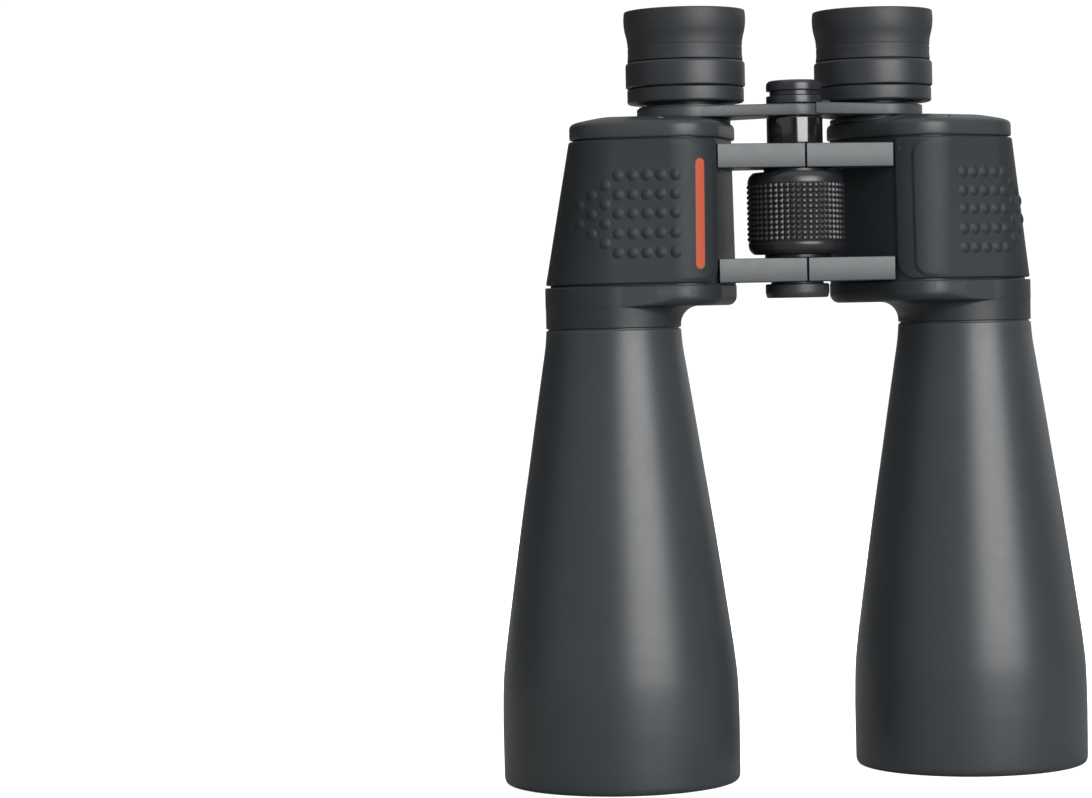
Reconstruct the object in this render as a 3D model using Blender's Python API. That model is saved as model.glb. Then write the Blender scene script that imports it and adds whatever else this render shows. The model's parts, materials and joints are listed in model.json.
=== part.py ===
"""Giant Porro-prism binoculars for astronomy, with centre focus, standing on their objective ends.

The object's frame has +Z from the objectives up to the eyepieces, +X towards the half with the
diopter ring, and its origin on the base plane, midway between the two objective axes.
Every size below is in millimetres, and every plan position is measured from the hinge axis.
"""

from math import asin, atan2, cos, hypot, pi, radians, sin

import bmesh
import bpy
from mathutils import Matrix, Vector

MM = 0.001

# Plan, seen from the eyepieces: the light comes up the objective axis, crosses to the middle
# corner in the first prism and to the eyepiece axis in the second.
HINGE_Y = -8.6
OBJECTIVE = (67.25, 8.6)
EYEPIECE = (36.17, 17.2)
CORNER = (47.41, -2.64)
HOUSING_TOP = (66.8, 2.5)
SCREW_PLACES = ((77.0, 4.5), (53.5, -12.5), (60.5, 14.5))

# Heights up the object
BARREL_TOP = 164.2
NECK_TOP = 171.4
COLLAR_Z = (164.5, 173.2)
FRONT_COVER_Z = (172.0, 179.4)
HOUSING_Z = (179.8, 232.0)
ARMOUR_Z = (180.2, 231.7)
REAR_COVER_Z = 232.3
COVER_EDGE_Z = 237.6
COVER_SEAT_Z = 238.0
LOWER_LUG_Z = (180.0, 188.6)
UPPER_LUG_Z = (221.2, 229.9)
WHEEL_Z = (190.1, 219.8)
SHELF_Z = (205.1, 206.9)
ARM_Z = (240.2, 244.4)
HUB_Z = (244.7, 247.5)
CAP_Z = (247.8, 253.2)
COLLAR_RING_Z = (246.1, 251.6)
HEAD_Z = (251.9, 261.2)
EYECUP_Z = (261.5, 280.0)

# Radii
BASE_RADIUS = 43.0
MOUTH_RADIUS = 39.2
NECK_RADIUS = 21.6
LENS_RADIUS = 35.7
COLLAR_RADIUS = 24.5
ARMOUR_THICKNESS = 1.5
WALL = 1.6
SPINDLE_RADIUS = 5.7
TUBE_RADIUS = 14.2
RING_RADIUS = 18.0
HUB_RADIUS = 10.2
KNUCKLE_RADIUS = 10.0
LUG_FRONT = -13.4
SEAM = 0.45
GAP = 0.3

# Prisms: the shift of the light in each, and the width of its glass
PRISM_SHIFT = hypot(OBJECTIVE[0] - CORNER[0], OBJECTIVE[1] - CORNER[1])
PRISM_WIDTH = 17.6
PRISM_HALF_LENGTH = 20.5
RIDGE_HALF_WIDTH = 1.2
STRAP_THICKNESS = 0.6

SIDES = {"left": -1, "right": 1}
FINE = 24
ROUND = 16
SMALL = 12
ARC = 5


def clear_scene():
    for obj in list(bpy.data.objects):
        bpy.data.objects.remove(obj, do_unlink=True)


def material(name, colour, roughness, metallic=0.0, transmission=0.0):
    made = bpy.data.materials.new(name)
    made.use_nodes = True
    shader = made.node_tree.nodes["Principled BSDF"]
    shader.inputs["Base Color"].default_value = (*colour, 1.0)
    shader.inputs["Roughness"].default_value = roughness
    shader.inputs["Metallic"].default_value = metallic
    shader.inputs["Transmission Weight"].default_value = transmission
    return made


def group(name, x=0.0, y=0.0, z=0.0):
    """An empty on the axis that a moving group turns about or slides along."""
    empty = bpy.data.objects.new(name, None)
    empty.location = Vector((x, y + HINGE_Y, z)) * MM
    bpy.context.scene.collection.objects.link(empty)
    return empty


def add(name, bm, surface, parent, at=(0.0, 0.0, 0.0), side=1):
    """Makes an object of the mesh, mirrored for the left half, and hangs it on its group."""
    if side < 0:
        bmesh.ops.scale(bm, vec=(-1.0, 1.0, 1.0), verts=bm.verts)
        bmesh.ops.reverse_faces(bm, faces=bm.faces)
    bmesh.ops.scale(bm, vec=(MM, MM, MM), verts=bm.verts)
    mesh = bpy.data.meshes.new(name)
    bm.to_mesh(mesh)
    bm.free()
    mesh.shade_smooth()
    mesh.set_sharp_from_angle(angle=radians(32))
    mesh.materials.append(surface)
    obj = bpy.data.objects.new(name, mesh)
    bpy.context.scene.collection.objects.link(obj)
    obj.parent = parent
    obj.location = Vector((side * at[0], at[1] + HINGE_Y, at[2])) * MM - parent.location
    return obj


def boolean(target, operation, bm, at=(0.0, 0.0, 0.0), side=1):
    """Adds or cuts the mesh as a modifier, with its helper object kept out of the render."""
    name = f"{target.name}_{operation.lower()}_{len(target.modifiers)}"
    helper = add(name, bm, target.data.materials[0], target.parent, at, side)
    helper.hide_render = True
    helper.display_type = "WIRE"
    modifier = target.modifiers.new(operation.title(), "BOOLEAN")
    modifier.operation = operation
    modifier.object = helper


def skin(bm, loops, capped):
    """Joins each loop of points to the next with triangles: capped at both ends, or closed on itself.

    Every loft splits its quads the same way, so that a skin follows the shell inside it.
    """
    rows = [[bm.verts.new(point) for point in loop] for loop in loops]
    following = rows[1:] if capped else rows[1:] + rows[:1]
    for lower, upper in zip(rows, following):
        count = max(len(lower), len(upper))
        for k in range(count):
            here, after = lower[k % len(lower)], lower[(k + 1) % len(lower)]
            above, beyond = upper[k % len(upper)], upper[(k + 1) % len(upper)]
            for corners in ((here, after, beyond), (here, beyond, above)):
                if len(set(corners)) == 3:
                    bm.faces.new(corners)
    if capped and len(rows[0]) > 1:
        bm.faces.new(rows[0][::-1])
    if capped and len(rows[-1]) > 1:
        bm.faces.new(rows[-1])
    return bm


def sheet(loops):
    """Joins each open row of points to the next, split as skin() splits them."""
    bm = bmesh.new()
    rows = [[bm.verts.new(point) for point in loop] for loop in loops]
    for lower, upper in zip(rows, rows[1:]):
        for k in range(len(lower) - 1):
            bm.faces.new((lower[k], lower[k + 1], upper[k + 1]))
            bm.faces.new((lower[k], upper[k + 1], upper[k]))
    return bm


def turned(profile, segments=ROUND, at=(0.0, 0.0), bm=None):
    """A turned solid from (radius, height) points, up the outer side first.

    A profile that starts and ends on the axis is a solid; any other is a ring.
    """
    loops = []
    for radius, height in profile:
        steps = segments if radius > 0 else 1
        angles = [2 * pi * k / segments for k in range(steps)]
        loops.append([(at[0] + radius * cos(a), at[1] + radius * sin(a), height) for a in angles])
    bm = bm or bmesh.new()
    return skin(bm, loops, capped=profile[0][0] == 0)


def disc_profile(radius, low, high):
    return [(0, low), (radius, low), (radius, high), (0, high)]


def tube_profile(outer, inner, low, high):
    return [(outer, low), (outer, high), (inner, high), (inner, low)]


def tangent_angle(a, b):
    """The direction that the tangent to circles a and b faces, on the right of a to b."""
    dx, dy = b[0] - a[0], b[1] - a[1]
    return atan2(dy, dx) - pi / 2 + asin((a[2] - b[2]) / hypot(dx, dy))


def wrapped(circles, steps=ARC, trim=(0.0, 0.0)):
    """Points round the outline that wraps the circles (x, y, radius), listed anticlockwise.

    trim takes an angle off the start of the first arc and off the end of the last.
    """
    points = []
    for i, circle in enumerate(circles):
        start = tangent_angle(circles[i - 1], circle)
        end = tangent_angle(circle, circles[(i + 1) % len(circles)])
        while end < start:
            end += 2 * pi
        if i == 0:
            start += trim[0]
        if i == len(circles) - 1:
            end -= trim[1]
        x, y, radius = circle
        for k in range(steps + 1):
            angle = start + (end - start) * k / steps
            points.append((x + radius * cos(angle), y + radius * sin(angle)))
    return points


def housing_circles(height, grow=0.0):
    """The three circles that the housing's metal wraps at a height."""
    t = (height - HOUSING_Z[0]) / (HOUSING_Z[1] - HOUSING_Z[0])
    outer_x = OBJECTIVE[0] + (HOUSING_TOP[0] - OBJECTIVE[0]) * t
    outer_y = OBJECTIVE[1] + (HOUSING_TOP[1] - OBJECTIVE[1]) * t
    return [
        (*CORNER, 16.4 + grow),
        (outer_x, outer_y, 22.6 - 7.6 * t + grow),
        (*EYEPIECE, 17.2 - 0.8 * t + grow),
    ]


def raised(points, height):
    return [(x, y, height) for x, y in points]


def extruded(points, low, high, bm=None):
    return skin(bm or bmesh.new(), [raised(points, low), raised(points, high)], capped=True)


def barrel_profile():
    """Cylinder at the mouth, a long cone that starts with a soft shoulder, and a threaded neck."""
    outer = [(41.4, 0.0), (42.5, 1.2), (43.0, 4.5), (BASE_RADIUS, 20.0), (42.7, 34.0)]
    outer += [(41.7, 46.0), (39.9, 59.4), (37.4, 77.4), (33.3, 104.3), (24.9, 158.2)]
    outer += [(24.4, 162.6), (24.1, BARREL_TOP), (NECK_RADIUS, BARREL_TOP)]
    outer += [(NECK_RADIUS, NECK_TOP)]
    inner = [(19.4, NECK_TOP), (19.4, 160.0), (31.0, 104.3), (37.4, 60.0)]
    inner += [(MOUTH_RADIUS, 44.0), (MOUTH_RADIUS, 0.0)]
    return outer + inner


def lens_profile(radius, edge, low_sag, high_sag, steps=3):
    """A lens between heights edge[0] and edge[1] at its rim, bulging by each sag at its centre."""
    low = [(radius * k / steps, edge[0] - low_sag * (1 - (k / steps) ** 2)) for k in range(steps + 1)]
    high = [(radius * k / steps, edge[1] + high_sag * (1 - (k / steps) ** 2)) for k in range(steps + 1)]
    return low + high[::-1]


def objective(side, prefix, parent, stuff):
    """The barrel with its lens cell, two lenses and retaining ring."""
    def put(name, profile, surface, segments=ROUND):
        add(f"{prefix}_{name}", turned(profile, segments), surface, parent, (*OBJECTIVE, 0), side)

    put("objective_barrel", barrel_profile(), stuff["barrel"], FINE)
    cell = [(MOUTH_RADIUS - GAP, 14.0), (MOUTH_RADIUS - GAP, 34.0), (34.8, 34.0)]
    cell += [(34.8, 30.3), (36.2, 30.3), (36.2, 14.0)]
    put("objective_cell", cell, stuff["cell"], FINE)
    put("crown_lens", lens_profile(LENS_RADIUS, (18.0, 20.0), 3.6, 5.2), stuff["glass"])
    put("flint_lens", lens_profile(LENS_RADIUS, (20.3, 30.0), -5.2, 0.4), stuff["glass"])
    put("lens_retaining_ring", tube_profile(LENS_RADIUS, 34.2, 14.6, 17.7), stuff["cell"])


def front_cover(side, prefix, parent, stuff):
    """The plate under the housing, with the collar that the barrel's neck screws into."""
    levels = []
    for height, inset in ((FRONT_COVER_Z[0], 3.0), (173.0, 1.0), (174.8, 0.0), (FRONT_COVER_Z[1], 0.0)):
        circles = [(*CORNER, 18.0 - inset), (*OBJECTIVE, COLLAR_RADIUS), (*EYEPIECE, 17.4 - inset)]
        levels.append(raised(wrapped(circles), height))
    cover = add(f"{prefix}_front_cover", skin(bmesh.new(), levels, True), stuff["metal"], parent, side=side)
    collar = turned(tube_profile(COLLAR_RADIUS, 22.0, *COLLAR_Z), FINE, OBJECTIVE)
    light_hole = turned(disc_profile(15.5, 160.0, 185.0), SMALL, OBJECTIVE)
    boolean(cover, "UNION", collar, side=side)
    boolean(cover, "DIFFERENCE", light_hole, side=side)


def lug_outline():
    """One hinge lug of the right half, from the seam to the middle of the housing's wall."""
    return [(SEAM, LUG_FRONT), (36.0, LUG_FRONT), (34.2, -10.0), (22.9, 9.7), (21.3, 13.6), (4.35, 9.33), (SEAM, 0)]


def prism_housing(side, prefix, parent, stuff):
    """A tapering shell open at both ends, with an upper and a lower hinge lug on its inner wall.

    Each lug is as high as its neighbour. The left half's knuckles fill the upper half of the
    height and the right half's the lower, so each lug is cut back round the other's knuckle.
    """
    heights = (HOUSING_Z[0], sum(SHELF_Z) / 2, HOUSING_Z[1])
    levels = [raised(wrapped(housing_circles(z)), z) for z in heights]
    levels += [raised(wrapped(housing_circles(z, -WALL)), z) for z in heights[::-1]]
    shell = skin(bmesh.new(), levels, capped=False)
    housing = add(f"{prefix}_prism_housing", shell, stuff["metal"], parent, side=side)
    blocks, knuckles, clearances, bores = (bmesh.new() for _ in range(4))
    for low, high, bore in ((*LOWER_LUG_Z, 6.1), (*UPPER_LUG_Z, 8.3)):
        middle = (low + high) / 2
        own = (low, middle - GAP / 2) if side > 0 else (middle + GAP / 2, high)
        other = (middle - GAP / 2, high + 1) if side > 0 else (low - 1, middle + GAP / 2)
        extruded(lug_outline(), low, high, blocks)
        turned(disc_profile(KNUCKLE_RADIUS, *own), ROUND, bm=knuckles)
        turned(disc_profile(KNUCKLE_RADIUS + GAP, *other), ROUND, bm=clearances)
        turned(disc_profile(bore, low - 1, high + 1), SMALL, bm=bores)
    boolean(housing, "UNION", blocks, side=side)
    boolean(housing, "DIFFERENCE", clearances, side=side)
    boolean(housing, "UNION", knuckles, side=side)
    boolean(housing, "DIFFERENCE", bores, side=side)


def armour(side, prefix, parent, stuff):
    """The rubber skin, from the front of the lugs right round the outside to their back."""
    trim = (radians(14), radians(44))
    heights = (ARMOUR_Z[0], sum(SHELF_Z) / 2, ARMOUR_Z[1])
    rows = [raised(wrapped(housing_circles(z, GAP), trim=trim), z) for z in heights]
    wrap = add(f"{prefix}_armour", sheet(rows), stuff["armour"], parent, side=side)
    thicken = wrap.modifiers.new("Thickness", "SOLIDIFY")
    thicken.thickness = ARMOUR_THICKNESS * MM
    thicken.offset = 1.0
    thicken.use_even_offset = True


def rear_cover(side, prefix, parent, stuff):
    """The domed plate over the housing, with a seat and a bore for the eyepiece's guide."""
    steps = ((REAR_COVER_Z, 0.0), (236.8, 0.0), (COVER_EDGE_Z, 0.8), (239.3, 5.0), (240.3, 8.5), (240.7, 12.0))
    levels = []
    for height, inset in steps:
        circles = [(*CORNER, 18.0 - inset), (*HOUSING_TOP, 16.6 - inset), (*EYEPIECE, 17.6 - inset)]
        levels.append(raised(wrapped(circles), height))
    cover = add(f"{prefix}_rear_cover", skin(bmesh.new(), levels, True), stuff["plastic"], parent, side=side)
    seat = [(0, 225.0), (15.2, 225.0), (15.2, COVER_SEAT_Z), (19.4, COVER_SEAT_Z), (19.4, 245.0), (0, 245.0)]
    cutter = turned(seat, ROUND, EYEPIECE)
    for place in SCREW_PLACES:
        hole = [(0, 233.1), (1.5, 233.1), (1.5, 237.6), (2.3, 237.6), (2.3, 245.0), (0, 245.0)]
        turned(hole, SMALL, place, cutter)
    boolean(cover, "DIFFERENCE", cutter, side=side)
    screw = [(0, 233.4), (1.2, 233.4), (1.2, 237.9), (1.9, 237.9), (1.9, 239.1), (1.3, 239.6), (0, 239.6)]
    for number, place in enumerate(SCREW_PLACES, 1):
        name = f"{prefix}_cover_screw_{number}"
        add(name, turned(screw, SMALL), stuff["steel"], parent, (*place, 0), side)


def prism(start, end, base, up):
    """A right-angled prism whose long face is level at base, with its ends and ridge ground off."""
    ends_height = PRISM_SHIFT - PRISM_HALF_LENGTH
    ridge_height = PRISM_SHIFT - RIDGE_HALF_WIDTH
    outline = [(-PRISM_HALF_LENGTH, 0), (PRISM_HALF_LENGTH, 0), (PRISM_HALF_LENGTH, ends_height)]
    outline += [(RIDGE_HALF_WIDTH, ridge_height), (-RIDGE_HALF_WIDTH, ridge_height)]
    outline += [(-PRISM_HALF_LENGTH, ends_height)]
    half = PRISM_WIDTH / 2
    loops = [[(along, across, up * height) for along, height in outline] for across in (half, -half)]
    return oriented(skin(bmesh.new(), loops, True), start, end, base)


def strap(start, end, base, up):
    """A spring strap over the prism's ridge, with a foot on the shelf at each side."""
    inner, thick = PRISM_WIDTH / 2 + 0.4, STRAP_THICKNESS
    outer, foot, half = inner + thick, 13.0, 3.0
    top = PRISM_SHIFT - RIDGE_HALF_WIDTH + 0.4
    outline = [(-foot, 0), (-inner, 0), (-inner, top), (inner, top), (inner, 0), (foot, 0), (foot, thick)]
    outline += [(outer, thick), (outer, top + thick), (-outer, top + thick), (-outer, thick), (-foot, thick)]
    loops = [[(along, across, up * height) for across, height in outline] for along in (-half, half)]
    return oriented(skin(bmesh.new(), loops, True), start, end, base)


def oriented(bm, start, end, base):
    """Lays a mesh made along X over the middle of start to end, and faces its surface outwards."""
    turn = Matrix.Rotation(atan2(end[1] - start[1], end[0] - start[0]), 4, "Z")
    middle = Vector(((start[0] + end[0]) / 2, (start[1] + end[1]) / 2, base))
    bmesh.ops.transform(bm, matrix=Matrix.Translation(middle) @ turn, verts=bm.verts)
    bmesh.ops.recalc_face_normals(bm, faces=bm.faces)
    return bm


def erecting_prisms(side, prefix, parent, stuff):
    """The shelf across the housing, with a prism and its strap on each face."""
    circles = housing_circles(sum(SHELF_Z) / 2, -WALL - 0.6)
    plate = extruded(wrapped(circles), *SHELF_Z)
    shelf = add(f"{prefix}_prism_shelf", plate, stuff["cell"], parent, side=side)
    holes = bmesh.new()
    for place in (OBJECTIVE, CORNER, EYEPIECE):
        turned(disc_profile(7.6, SHELF_Z[0] - 1, SHELF_Z[1] + 1), SMALL, place, holes)
    boolean(shelf, "DIFFERENCE", holes, side=side)
    above, below = SHELF_Z[1] + GAP, SHELF_Z[0] - GAP
    for name, start, end, base, up in (
        ("objective_prism", CORNER, OBJECTIVE, above, 1),
        ("eyepiece_prism", CORNER, EYEPIECE, below, -1),
    ):
        add(f"{prefix}_{name}", prism(start, end, base, up), stuff["glass"], parent, side=side)
        add(f"{prefix}_{name}_strap", strap(start, end, base, up), stuff["steel"], parent, side=side)


def eyepiece(side, prefix, groups, stuff):
    """The fixed guide, and the eyepiece that slides in it with its two lenses and its eyecup."""
    def put(name, profile, surface, parent, segments=ROUND):
        add(f"{prefix}_{name}", turned(profile, segments), surface, parent, (*EYEPIECE, 0), side)

    flange_top = ARM_Z[0] - GAP
    guide = [(14.9, 232.6), (14.9, COVER_SEAT_Z + GAP), (16.3, COVER_SEAT_Z + GAP), (16.3, flange_top)]
    guide += [(14.5, flange_top), (14.5, 232.6)]
    put("eyepiece_guide", guide, stuff["metal"], groups["half"])
    tube = [(TUBE_RADIUS, 222.0), (TUBE_RADIUS, 257.0), (12.6, 257.0), (12.6, 242.3)]
    tube += [(10.4, 242.0), (10.4, 241.0), (12.6, 240.7), (12.6, 222.0)]
    put("eyepiece_tube", tube, stuff["cell"], groups["ocular"])
    put("field_lens", lens_profile(12.3, (228.0, 231.0), 1.2, 1.8, 2), stuff["glass"], groups["ocular"], SMALL)
    put("eye_lens", lens_profile(12.8, (260.0, 263.2), 0.6, 2.6, 2), stuff["glass"], groups["ocular"], SMALL)
    ring_low, ring_high = COLLAR_RING_Z
    ring = [(21.0, ring_low), (21.4, ring_low + 0.4), (21.4, ring_high - 0.4), (21.0, ring_high)]
    ring += [(14.5, ring_high), (14.5, ring_low)]
    ring_name = "diopter_ring" if side > 0 else "eyepiece_collar"
    put(ring_name, ring, stuff["plastic"], groups["ring"], FINE)
    head_low, head_high = HEAD_Z
    head = [(21.5, head_low), (21.9, head_low + 0.4), (21.9, head_high - 0.5), (21.4, head_high)]
    head += [(18.6, head_high), (18.6, 269.6), (17.9, 270.3), (11.6, 270.3), (11.2, 268.4)]
    head += [(13.1, 266.8), (13.1, 258.6), (14.5, 258.0), (14.5, head_low)]
    put("eyepiece_head", head, stuff["plastic"], groups["ocular"], FINE)
    low, high = EYECUP_Z
    cup = [(21.1, low), (21.0, 266.0), (21.3, 270.5), (22.2, 274.8), (22.4, 277.6), (22.1, 279.2)]
    cup += [(21.5, high), (20.9, 279.7), (20.3, 277.0), (19.4, 272.0), (18.9, 268.0), (18.9, low)]
    put("eyecup", cup, stuff["eyecup"], groups["eyecup"], FINE)


def arm_outline():
    """The right arm of the bridge from its hub to its ring, leaving room to fold at the back."""
    lean = radians(15)
    points = [(HUB_RADIUS * sin(lean), -HUB_RADIUS * cos(lean))]
    for angle in (radians(-94), radians(127)):
        reach = RING_RADIUS - 0.2
        points.append((EYEPIECE[0] + reach * cos(angle), EYEPIECE[1] + reach * sin(angle)))
    return points + [(4.2, 9.3), (0.3, 0.0)]


def bridge_arm(side, parent, stuff):
    """One arm of the bridge. The left hub lies in the arm's own height, the right one above it."""
    prefix = "left" if side < 0 else "right"
    plate = extruded(arm_outline(), *ARM_Z)
    arm = add(f"bridge_{prefix}_arm", plate, stuff["arm"], parent, side=side)
    ring = turned(disc_profile(RING_RADIUS, ARM_Z[0], ARM_Z[1] + 0.6), FINE, EYEPIECE)
    boolean(arm, "UNION", ring, side=side)
    if side < 0:
        boolean(arm, "UNION", turned(disc_profile(HUB_RADIUS, *ARM_Z)), side=side)
    else:
        boolean(arm, "DIFFERENCE", turned(disc_profile(HUB_RADIUS + 0.4, ARM_Z[0] - 1, HUB_Z[0] + 2)))
        web = [(0.5, -6.0), (14.0, -3.4), (14.0, 8.2), (4.2, 9.0)]
        foot = [(11.3, -3.4), (14.0, -3.4), (14.0, 8.2), (11.3, 8.2)]
        boolean(arm, "UNION", extruded(web, *HUB_Z))
        boolean(arm, "UNION", turned(disc_profile(HUB_RADIUS, *HUB_Z)))
        boolean(arm, "UNION", extruded(foot, ARM_Z[0] + 1.0, HUB_Z[1] - 1.0))
    holes = turned(disc_profile(4.8, ARM_Z[0] - 1, HUB_Z[1] + 1), SMALL)
    turned(disc_profile(TUBE_RADIUS + GAP, ARM_Z[0] - 1, HUB_Z[1] + 1), ROUND, EYEPIECE, holes)
    boolean(arm, "DIFFERENCE", holes, side=side)


def centre(groups, stuff):
    """The hinge, the focus wheel with its screw, and the tripod socket with its screw cap."""
    def put(name, profile, surface, parent, segments=ROUND):
        add(name, turned(profile, segments), surface, groups[parent])

    left = "left_half"
    sleeve = [(8.0, UPPER_LUG_Z[0]), (8.0, 230.2), (HUB_RADIUS, 230.2), (HUB_RADIUS, 239.6)]
    sleeve += [(9.9, 239.9), (6.0, 239.9), (6.0, UPPER_LUG_Z[0])]
    put("hinge_sleeve", sleeve, stuff["gloss"], left)
    pin = [(0, 188.0), (3.3, 188.0), (3.3, 179.7), (5.8, 179.7), (5.8, 189.5), (0, 189.5)]
    put("hinge_pin", pin, stuff["steel"], left, SMALL)
    put("lower_thrust_washer", tube_profile(9.8, 6.3, 188.9, 189.8), stuff["washer"], left, SMALL)
    put("upper_thrust_washer", tube_profile(9.8, 6.3, 220.1, 220.9), stuff["washer"], left, SMALL)

    low, high = WHEEL_Z
    wheel = [(15.4, low), (17.0, low + 0.8), (17.5, low + 2.6), (17.5, low + 4.4), (17.95, low + 4.8)]
    wheel += [(17.95, high - 4.2), (17.5, high - 3.8), (17.5, high - 2.4), (17.0, high - 0.8), (15.4, high)]
    wheel += [(9.0, high), (9.0, low)]
    put("focus_wheel", wheel, stuff["wheel"], "focus_wheel_turn", FINE)
    put("focus_nut", tube_profile(8.7, 6.0, low + 0.5, high - 0.5), stuff["brass"], "focus_wheel_turn", SMALL)

    spindle = [(0, 192.0), (5.2, 192.0), (SPINDLE_RADIUS, 192.6), (SPINDLE_RADIUS, 239.9)]
    spindle += [(4.5, 239.9), (4.5, HUB_Z[1]), (0, HUB_Z[1])]
    put("focus_spindle", spindle, stuff["steel"], "bridge", SMALL)
    low, high = CAP_Z
    cap = [(0, low), (HUB_RADIUS, low), (HUB_RADIUS, low + 2.0), (9.6, low + 2.3), (9.6, low + 2.6)]
    cap += [(HUB_RADIUS, low + 2.9), (HUB_RADIUS, high - 0.9), (9.4, high - 0.2), (7.0, high), (0, high)]
    put("bridge_cap", cap, stuff["gloss"], "bridge")

    stud = [(0, 175.8), (3.0, 175.8), (3.0, 186.6), (2.5, 187.1), (0, 187.1)]
    put("tripod_stud", stud, stuff["brass"], "tripod_stud_travel", SMALL)
    knob = [(0, 174.2), (11.2, 174.2), (11.6, 174.6), (11.6, 178.9), (11.2, 179.4)]
    knob += [(3.3, 179.4), (3.3, 175.5), (0, 175.5)]
    put("tripod_cap", knob, stuff["plastic"], "tripod_cap_turn")


def make():
    clear_scene()
    stuff = {
        "barrel": material("barrel_paint", (0.045, 0.055, 0.062), 0.42),
        "metal": material("housing_paint", (0.045, 0.052, 0.057), 0.45),
        "arm": material("arm_paint", (0.12, 0.12, 0.13), 0.42),
        "armour": material("armour_rubber", (0.045, 0.050, 0.054), 0.6),
        "plastic": material("moulded_plastic", (0.04, 0.045, 0.048), 0.4),
        "eyecup": material("eyecup_rubber", (0.035, 0.037, 0.04), 0.55),
        "wheel": material("wheel_rubber", (0.015, 0.015, 0.017), 0.3),
        "gloss": material("gloss_black", (0.012, 0.012, 0.015), 0.15),
        "cell": material("blackened_aluminium", (0.03, 0.03, 0.032), 0.5, 0.6),
        "steel": material("plated_steel", (0.5, 0.5, 0.5), 0.35, 1.0),
        "brass": material("turned_brass", (0.72, 0.52, 0.24), 0.35, 1.0),
        "washer": material("washer_polymer", (0.02, 0.02, 0.022), 0.35),
        "glass": material("coated_glass", (0.75, 0.85, 0.9), 0.02, transmission=1.0),
    }
    right_x = EYEPIECE[0]
    groups = {
        "left_half": group("left_half"),
        "right_half": group("interpupillary_fold"),
        "focus_wheel_turn": group("focus_wheel_turn"),
        "bridge": group("focus_travel"),
        "right_bridge": group("bridge_fold"),
        "tripod_stud_travel": group("tripod_stud_travel"),
        "tripod_cap_turn": group("tripod_cap_turn"),
        "right_ocular": group("diopter_travel", right_x, EYEPIECE[1]),
        "diopter": group("diopter_turn", right_x, EYEPIECE[1]),
        "right_eyecup": group("right_eyecup_fold", right_x, EYEPIECE[1], EYECUP_Z[0]),
        "left_eyecup": group("left_eyecup_fold", -right_x, EYEPIECE[1], EYECUP_Z[0]),
    }
    for prefix, side in SIDES.items():
        half = groups[f"{prefix}_half"]
        for build in (objective, front_cover, prism_housing, armour, rear_cover, erecting_prisms):
            build(side, prefix, half, stuff)
        ocular = groups["right_ocular"] if side > 0 else groups["bridge"]
        eyepiece_groups = {
            "half": half,
            "ocular": ocular,
            "ring": groups["diopter"] if side > 0 else ocular,
            "eyecup": groups[f"{prefix}_eyecup"],
        }
        eyepiece(side, prefix, eyepiece_groups, stuff)
        bridge_arm(side, groups["right_bridge"] if side > 0 else groups["bridge"], stuff)
    centre(groups, stuff)


make()
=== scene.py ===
"""Looks for the astronomy binoculars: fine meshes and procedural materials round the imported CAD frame.

Sizes are in millimetres, and plan positions are measured from the hinge axis, as in the CAD source.
"""

import json
from math import asin, atan2, cos, hypot, pi, radians, sin, sqrt

import bmesh
import bpy
from mathutils import Matrix, Vector


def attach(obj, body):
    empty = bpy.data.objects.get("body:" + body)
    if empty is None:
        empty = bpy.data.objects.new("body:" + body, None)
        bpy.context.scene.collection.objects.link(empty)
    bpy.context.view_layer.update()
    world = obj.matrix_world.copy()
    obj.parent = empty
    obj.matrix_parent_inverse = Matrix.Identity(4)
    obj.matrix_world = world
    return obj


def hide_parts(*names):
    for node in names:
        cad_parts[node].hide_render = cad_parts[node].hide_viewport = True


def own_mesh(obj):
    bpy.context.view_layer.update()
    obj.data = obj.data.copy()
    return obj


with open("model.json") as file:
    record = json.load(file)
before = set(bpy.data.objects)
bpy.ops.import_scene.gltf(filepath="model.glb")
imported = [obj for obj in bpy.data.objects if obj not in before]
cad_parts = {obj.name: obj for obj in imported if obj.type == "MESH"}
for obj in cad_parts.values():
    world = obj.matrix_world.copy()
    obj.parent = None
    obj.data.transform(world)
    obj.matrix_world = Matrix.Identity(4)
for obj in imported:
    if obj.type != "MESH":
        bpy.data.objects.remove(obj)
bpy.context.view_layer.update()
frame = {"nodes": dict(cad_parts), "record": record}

MM = 0.001
HINGE_Y = -8.6
OBJECTIVE = (67.25, 8.6)
EYEPIECE = (36.17, 17.2)
CORNER = (47.41, -2.64)
HOUSING_TOP = (66.8, 2.5)
SCREW_PLACES = ((77.0, 4.5), (53.5, -12.5), (60.5, 14.5))
HOUSING_Z = (179.8, 232.0)
ARMOUR_Z = (180.2, 231.7)
LOWER_LUG_Z = (180.0, 188.6)
UPPER_LUG_Z = (221.2, 229.9)
WHEEL_Z = (190.1, 219.8)
ARM_Z = (240.2, 244.4)
ARM_STEP = 0.5
BOSS_TOP = 244.95
HUB_Z = (244.7, 247.5)
SIDES = {"left": -1, "right": 1}
FINE = 144
ROUND = 96
COLLAR_RADIUS = 24.5
BAR_LOW = (9.0, 185.0)
BAR_HIGH = (12.8, 224.5)
FLOOR_HALF_WIDTH = 12.0
WHITE = (1.0, 1.0, 1.0, 1.0)


# ---------------------------------------------------------------- mesh making

def skin(rows, capped=False, closed_rows=False, bm=None):
    """Joins rows of points, each closed on itself, into quads. Rows of one point are tips."""
    bm = bm or bmesh.new()
    made = [[bm.verts.new(point) for point in row] for row in rows]
    following = made[1:] + (made[:1] if closed_rows else [])
    for lower, upper in zip(made, following):
        count = max(len(lower), len(upper))
        for k in range(count):
            corners = []
            for vert in (lower[k % len(lower)], lower[(k + 1) % len(lower)],
                         upper[(k + 1) % len(upper)], upper[k % len(upper)]):
                if vert not in corners:
                    corners.append(vert)
            bm.faces.new(corners)
    if capped:
        bm.faces.new(made[0][::-1])
        bm.faces.new(made[-1])
    return bm


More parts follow.
